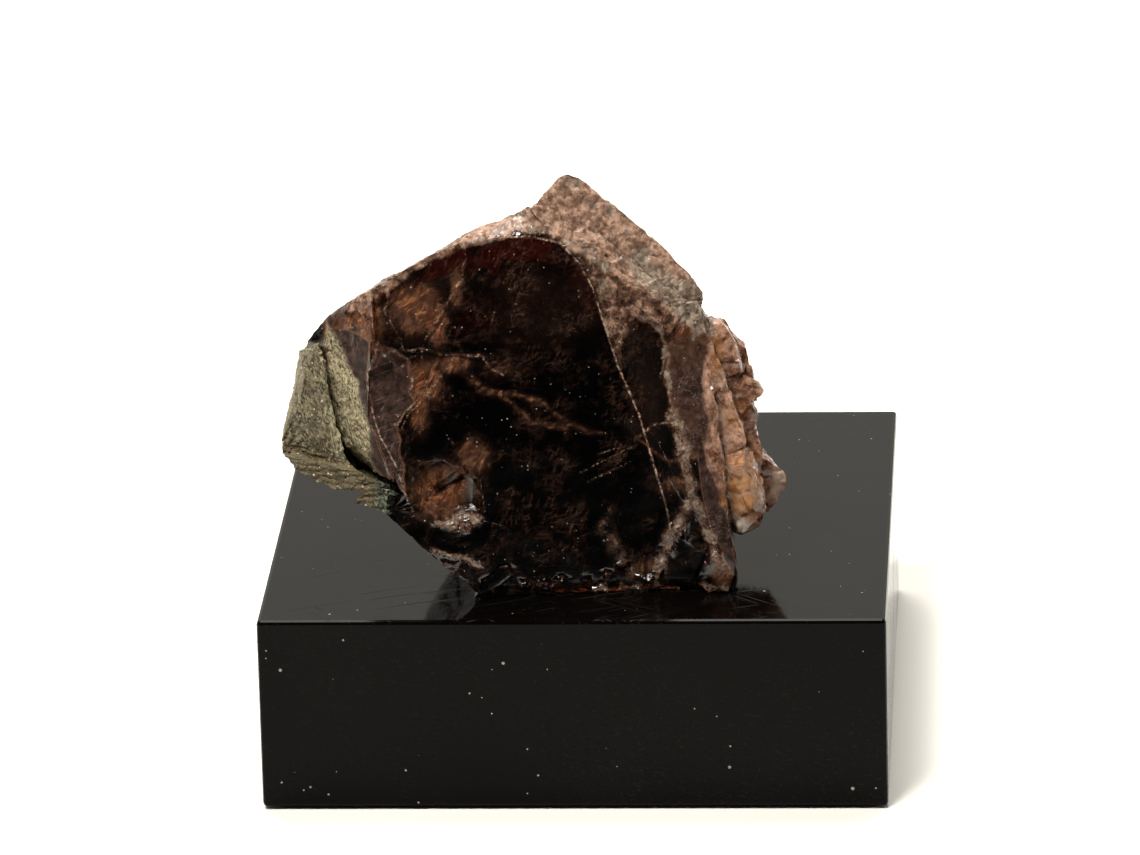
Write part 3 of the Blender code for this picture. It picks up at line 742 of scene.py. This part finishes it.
def veil_and_glow_layer(tree, place, mask, patches):
    """Brown and orange veils: fibres inside the crystal, seen through its faces, with the orange glow of
    light through the crystal's thin parts painted in as colour.
    """
    meander = bent(tree, place, 0.35, 2.4)
    slanted = turned(tree, meander, (0, -50, 0), (0.8, 1.6, 2.8))
    fibres = cloud(tree, slanted, 1.1, 5.0, 0.7)
    fine_threads = filaments(tree, meander, 0.45, 0.012)
    threads = most(tree, filaments(tree, slanted, 0.9, 0.035), times(tree, fine_threads, 0.8))
    scattered = times(tree, threads, step(tree, patches, 0.46, 0.64))
    body = most(tree, times(tree, mask, 0.25), broken_up(tree, mask, fibres))
    veil_and_glow = most(tree, body, times(tree, scattered, plus(tree, times(tree, mask, 0.6), 0.25)))
    colour = blend(tree, step(tree, fibres, 0.36, 0.52), VEIL_AND_GLOW[0], VEIL_AND_GLOW[1])
    colour = blend(tree, step(tree, fibres, 0.50, 0.66), colour, VEIL_AND_GLOW[2])
    colour = blend(tree, times(tree, threads, 0.5), colour, THREAD)
    return veil_and_glow, (colour, 0.5, 0.2)


def painted_sheen_layer(tree, mask, patches, mottle):
    """The dull purple-brown faces at both sides of the main face, with a dim purple-grey sheen painted into
    their colour.
    """
    painted_sheen = step(tree, times(tree, mask, plus(tree, patches, 0.6)), 0.15, 0.7)
    colour = blend(tree, step(tree, mottle, 0.36, 0.66), *PAINTED_SHEEN)
    return painted_sheen, (colour, 0.0, 0.4)


def frost_layer(tree, mask, patches, mottle, pick):
    """The hacked surface of the peak and the shoulder, pinkish with greyish patches."""
    pinkish = blend(tree, step(tree, mottle, 0.40, 0.62), *PINK_FROST)
    greyish = blend(tree, pick[1], *GREY_FROST)
    colour = blend(tree, step(tree, patches, 0.54, 0.64), pinkish, greyish)
    return broken_up(tree, mask, mottle), (colour, 0.38, slide(tree, pick[0], 0.16, 0.5))


def small_crystal_layer(tree, masks, patches, mottle):
    """The small peach and amber crystals along the right rim."""
    tone = plus(tree, times(tree, patches, 0.4), times(tree, mottle, 0.6))
    colour = blend(tree, step(tree, tone, 0.40, 0.60), *SMALL_CRYSTALS)
    colour = blend(tree, times(tree, masks["amber"], 0.8), colour, AMBER)
    colour = blend(tree, masks["tip"], colour, PALE_TIP)
    there = times(tree, masks["gem"], step(tree, patches, 0.3, 0.6, 0.6, 1.0))
    return there, (colour, 0.45, 0.09)


def dust_layer(tree, mask, mottle, pick):
    """Sparkling grains at the right end of the shoulder."""
    dust = broken_up(tree, times(tree, mask, 0.7), mottle)
    return dust, (blend(tree, pick[2], *DUST), 0.3, slide(tree, pick[1], 0.25, 0.5))


def crumb_layer(tree, place, mask, pick):
    """Bands of beige crumbs along cracks and along the foot."""
    crumb = broken_up(tree, times(tree, mask, 0.66), cloud(tree, place, 4.5, 3.0, 0.8))
    return crumb, (blend(tree, pick[0], *CRUMBS), 0.2, 0.5)


def line_layer(tree, place, masks, mottle):
    """Pale lines along cracks and worn edges."""
    worn_edge = times(tree, masks["ridged"], step(tree, mottle, 0.42, 0.6))
    line = most(tree, masks["line"], times(tree, worn_edge, 0.55))
    line = broken_up(tree, line, cloud(tree, place, 5.0, 2.0, 0.7))
    return line, (PALE_LINE, 0.3, 0.4)


def crust_layer(tree, place, mask, mottle):
    """Grains of the mother rock on the crystal beside it."""
    crust = times(tree, mask, step(tree, mottle, 0.30, 0.42))
    flecks = cloud(tree, turned(tree, place, (0, -25, 0), (7.0, 5.0, 3.0)), 1.0, 4.0, 0.85)
    colour = blend(tree, step(tree, flecks, 0.36, 0.62), *ROCK_CRUST)
    return crust, (colour, 0.0, 0.6)


def crystal_look(tree, place, masks, granules, patches):
    """The clear brown crystal with its layers over one another, with painted shade darkening its grooves."""
    mottle = cloud(tree, place, 1.7, 5.0, 0.75)
    pick = add(tree, "ShaderNodeSeparateColor", {"Color": granules.outputs["Color"]}).outputs
    look = (CLEAR_BROWN, 1.0, 0.07)
    for mask, layer in (
        veil_and_glow_layer(tree, place, masks["veil_and_glow"], patches),
        painted_sheen_layer(tree, masks["painted_sheen"], patches, mottle),
        frost_layer(tree, masks["frost"], patches, mottle, pick),
        small_crystal_layer(tree, masks, patches, mottle),
        dust_layer(tree, masks["dust"], mottle, pick),
        crumb_layer(tree, place, masks["crumb"], pick),
        line_layer(tree, place, masks, mottle),
        crust_layer(tree, place, masks["crust"], mottle),
    ):
        look = laid_over(tree, mask, look, layer)
    colour, passing, rough = look
    # Painted shade: the colour is darkened in the grooves, where shade would fall
    colour = blend(tree, times(tree, masks["grooved"], 0.8), colour, PAINTED_GROOVE_SHADE)
    shade = plus(tree, plus(tree, mottle, times(tree, pick[1], 0.2)), 0.3)
    return vectors(tree, "SCALE", {0: colour, "Scale": shade}), passing, rough


def surface_wear(tree, place, patches, look):
    """Fine scratches and dust on the crystal."""
    rising = streaks(tree, place, (0, -24, 0), 0.5, 9.0, 0.60, 0.74)
    level = streaks(tree, place, (0, 8, 0), 0.6, 8.0, 0.64, 0.78)
    steep = streaks(tree, place, (0, -68, 0), 0.4, 8.0, 0.60, 0.76)
    scratched = most(tree, rising, most(tree, level, steep))
    scratched = times(tree, scratched, step(tree, patches, 0.42, 0.60))
    colour, passing, rough = look
    colour = blend(tree, times(tree, scratched, 0.4), colour, SCRATCH)
    passing = slide(tree, times(tree, scratched, 0.12), passing, 0.2)
    rough = slide(tree, times(tree, scratched, 0.3), rough, 0.3)
    dust = most(tree, specks(tree, place, 1.5, 0.07, 0.4), specks(tree, place, 3.2, 0.12, 0.35))
    return laid_over(tree, dust, (colour, passing, rough), (DUST_SPECK, 0.2, 0.6))


def crystal_bump(tree, place, masks, granules):
    upright = cloud(tree, turned(tree, place, (0, 0, 0), (5.0, 5.0, 0.5)), 1.0, 2.0)
    grain = cloud(tree, place, 5.0, 3.0, 0.65)
    hacked = most(tree, most(tree, masks["frost"], masks["crust"]), most(tree, masks["crumb"], masks["dust"]))
    height = times(tree, upright, 0.004)
    height = plus(tree, height, times(tree, times(tree, grain, hacked), 0.04))
    height = plus(tree, height, times(tree, times(tree, granules.outputs["Distance"], hacked), -0.025))
    return bump(tree, height)


def crystal_material():
    material, tree, shader, output = blank_material("axinite")
    place = millimetres(tree)
    names = ("frost", "dust", "veil_and_glow", "painted_sheen", "line", "crumb", "crust", "gem", "amber", "tip", "ridged",
             "grooved")
    masks = {name: attribute(tree, name) for name in names}
    granules = cells(tree, place, 3.8)
    patches = cloud(tree, place, 0.45, 5.0, 0.65)
    look = crystal_look(tree, place, masks, granules, patches)
    colour, passing, rough = surface_wear(tree, place, patches, look)
    put(tree, shader.inputs["Base Color"], colour)
    put(tree, shader.inputs["Transmission Weight"], passing)
    put(tree, shader.inputs["Roughness"], rough)
    put(tree, shader.inputs["Normal"], crystal_bump(tree, place, masks, granules))
    shader.inputs["IOR"].default_value = CRYSTAL_IOR
    shader.inputs["Specular IOR Level"].default_value = CRYSTAL_SPECULAR
    depth = {"Color": CRYSTAL_ABSORPTION, "Density": CRYSTAL_DENSITY}
    absorption = add(tree, "ShaderNodeVolumeAbsorption", depth)
    tree.links.new(absorption.outputs[0], output.inputs["Volume"])
    return material


def rock_material():
    material, tree, shader, _ = blank_material("schist")
    place = millimetres(tree)
    masks = {name: attribute(tree, name) for name in ("ledge", "clump", "lit", "painted_rim_light")}
    streaked = turned(tree, place, (0, -25, 0), (1.5, 1.0, 0.7))
    grain = cells(tree, streaked, 6.5)
    pick = add(tree, "ShaderNodeSeparateColor", {"Color": grain.outputs["Color"]})
    tint = cloud(tree, place, 0.9, 4.0, 0.6)

    # The rock's colour in painted shade and in painted light, mixed by which way each face turns
    painted_shade_side = blend(tree, step(tree, pick.outputs[0], 0.0, 1.0), *ROCK_PAINTED_SHADE)
    painted_shade_side = blend(tree, step(tree, tint, 0.50, 0.66), painted_shade_side, ROCK_BROWN_TINT)
    light = blend(tree, step(tree, pick.outputs[1], 0.0, 1.0), *ROCK_PAINTED_LIGHT)
    colour = blend(tree, masks["lit"], painted_shade_side, light)
    colour = blend(tree, times(tree, masks["painted_rim_light"], 0.7), colour, ROCK_PAINTED_RIM_LIGHT)
    layers = cloud(tree, turned(tree, place, (0, 12, 0), (0.5, 0.5, 4.0)), 1.2, 4.0)
    brown = blend(tree, step(tree, layers, 0.35, 0.65), *ROCK_LEDGE)
    colour = blend(tree, times(tree, masks["ledge"], 0.85), colour, brown)
    green = blend(tree, step(tree, pick.outputs[2], 0.2, 0.95), *ROCK_CLUMP)
    colour = blend(tree, masks["clump"], colour, green)
    flakes = most(tree, specks(tree, place, 2.6, 0.2, 0.16), specks(tree, place, 5.5, 0.35, 0.25))
    colour = blend(tree, flakes, colour, ROCK_FLAKE)

    put(tree, shader.inputs["Base Color"], colour)
    put(tree, shader.inputs["Roughness"], slide(tree, step(tree, pick.outputs[2], 0.8, 0.9), 0.75, 0.3))
    fine = times(tree, cloud(tree, place, 9.0, 3.0), 0.04)
    height = plus(tree, times(tree, grain.outputs["Distance"], -0.05), fine)
    put(tree, shader.inputs["Normal"], bump(tree, height))
    shader.inputs["IOR"].default_value = ROCK_IOR
    return material


def acrylic_material():
    material, tree, shader, _ = blank_material("black_acrylic")
    place = millimetres(tree)
    hairs = most(tree, streaks(tree, bent(tree, place, 0.05, 3.0), (0, 0, 24), 0.12, 5.0, 0.62, 0.76),
                 streaks(tree, bent(tree, place, 0.06, 3.0), (0, 0, -37), 0.10, 6.0, 0.64, 0.78))
    hairs = times(tree, hairs, step(tree, cloud(tree, place, 0.12, 3.0), 0.35, 0.6))
    dust = most(tree, specks(tree, place, 0.55, 0.06, 0.6), specks(tree, place, 1.4, 0.09, 0.3))
    smudge = step(tree, cloud(tree, place, 0.10, 5.0, 0.6), 0.35, 0.75)
    colour = blend(tree, smudge, *ACRYLIC_BLACK)
    colour = blend(tree, times(tree, hairs, 0.25), colour, ACRYLIC_HAIR)
    colour = blend(tree, dust, colour, ACRYLIC_DUST)
    rough = slide(tree, smudge, 0.05, 0.12)
    rough = slide(tree, hairs, rough, 0.45)
    rough = slide(tree, dust, rough, 0.7)
    put(tree, shader.inputs["Base Color"], colour)
    put(tree, shader.inputs["Roughness"], rough)
    height = plus(tree, times(tree, cloud(tree, place, 0.4, 3.0), 0.002), times(tree, hairs, -0.002))
    put(tree, shader.inputs["Normal"], bump(tree, height))
    shader.inputs["IOR"].default_value = ACRYLIC_IOR
    shader.inputs["Specular IOR Level"].default_value = ACRYLIC_SPECULAR
    return material


def paper_material():
    material, tree, shader, _ = blank_material("paper")
    place = add(tree, "ShaderNodeTexCoord").outputs["Object"]
    tone = cloud(tree, place, 60.0, 4.0)
    pale = blend(tree, tone, *PAPER_PALE)
    forward = add(tree, "ShaderNodeSeparateXYZ", {0: place}).outputs["Y"]
    colour = blend(tree, step(tree, forward, *FLOOR_FADE), pale, PAPER_DARK)
    put(tree, shader.inputs["Base Color"], colour)
    shader.inputs["Roughness"].default_value = 0.9
    shader.inputs["Specular IOR Level"].default_value = 0.1
    return material


# The set: floor, lights and camera

def lay_floor():
    mesh = bpy.data.meshes.new("Floor")
    half = FLOOR_HALF_SIDE
    corners = [(-half, -half, 0), (half, -half, 0), (half, half, 0), (-half, half, 0)]
    mesh.from_pydata(corners, [], [(0, 1, 2, 3)])
    floor = bpy.data.objects.new("Floor", mesh)
    floor.location.z = -FLOOR_DEPTH
    bpy.context.scene.collection.objects.link(floor)
    mesh.materials.append(paper_material())


def hang_light(name, place, target, size, power, spread):
    light = bpy.data.lights.new(name, "AREA")
    light.size = size
    light.energy = power
    light.spread = math.radians(spread)
    light.color = LIGHT_COLOUR
    holder = bpy.data.objects.new(name, light)
    holder.location = place
    holder.rotation_euler = (Vector(target) - Vector(place)).to_track_quat("-Z", "Y").to_euler()
    bpy.context.scene.collection.objects.link(holder)


def light_world():
    """Soft light from all round, brighter from behind than from the front."""
    world = bpy.data.worlds.new("Studio")
    world.use_nodes = True
    tree = world.node_tree
    background = tree.nodes["Background"]
    background.inputs["Color"].default_value = (*WORLD_COLOUR, 1.0)
    direction = add(tree, "ShaderNodeTexCoord").outputs["Generated"]
    backwards = add(tree, "ShaderNodeSeparateXYZ", {0: direction}).outputs["Y"]
    put(tree, background.inputs["Strength"], step(tree, backwards, 0.1, 0.85, WORLD_IN_FRONT, WORLD_BEHIND))
    bpy.context.scene.world = world


def place_camera():
    forward = CAMERA_FORWARD.normalized()
    level = forward.cross(Vector((0, 0, 1))).normalized()
    upright = level.cross(forward)
    right = level * math.cos(CAMERA_ROLL) + upright * math.sin(CAMERA_ROLL)
    up = upright * math.cos(CAMERA_ROLL) - level * math.sin(CAMERA_ROLL)
    camera = bpy.data.objects.new("Camera", bpy.data.cameras.new("Camera"))
    camera.data.lens = CAMERA_LENS
    camera.data.sensor_width = CAMERA_SENSOR
    camera.data.clip_end = 10.0
    matrix = Matrix((right, up, -forward)).transposed().to_4x4()
    matrix.translation = CAMERA_PLACE
    camera.matrix_world = matrix
    bpy.context.scene.collection.objects.link(camera)
    bpy.context.scene.camera = camera


def build_set():
    lay_floor()
    light_world()
    for light in LIGHTS:
        hang_light(*light)
    place_camera()
    bpy.context.scene.view_settings.view_transform = "Standard"


def build():
    noise.seed_set(5)
    crystal = fine_crystal()
    crystal.data.materials.append(crystal_material())
    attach(crystal, "root")
    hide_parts("axinite_crystal")

    rock = fine_rock()
    rock.data.materials.append(rock_material())
    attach(rock, "root")
    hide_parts("matrix_rock")

    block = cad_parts["display_block"]
    block.material_slots[0].material = acrylic_material()
    build_set()


build()
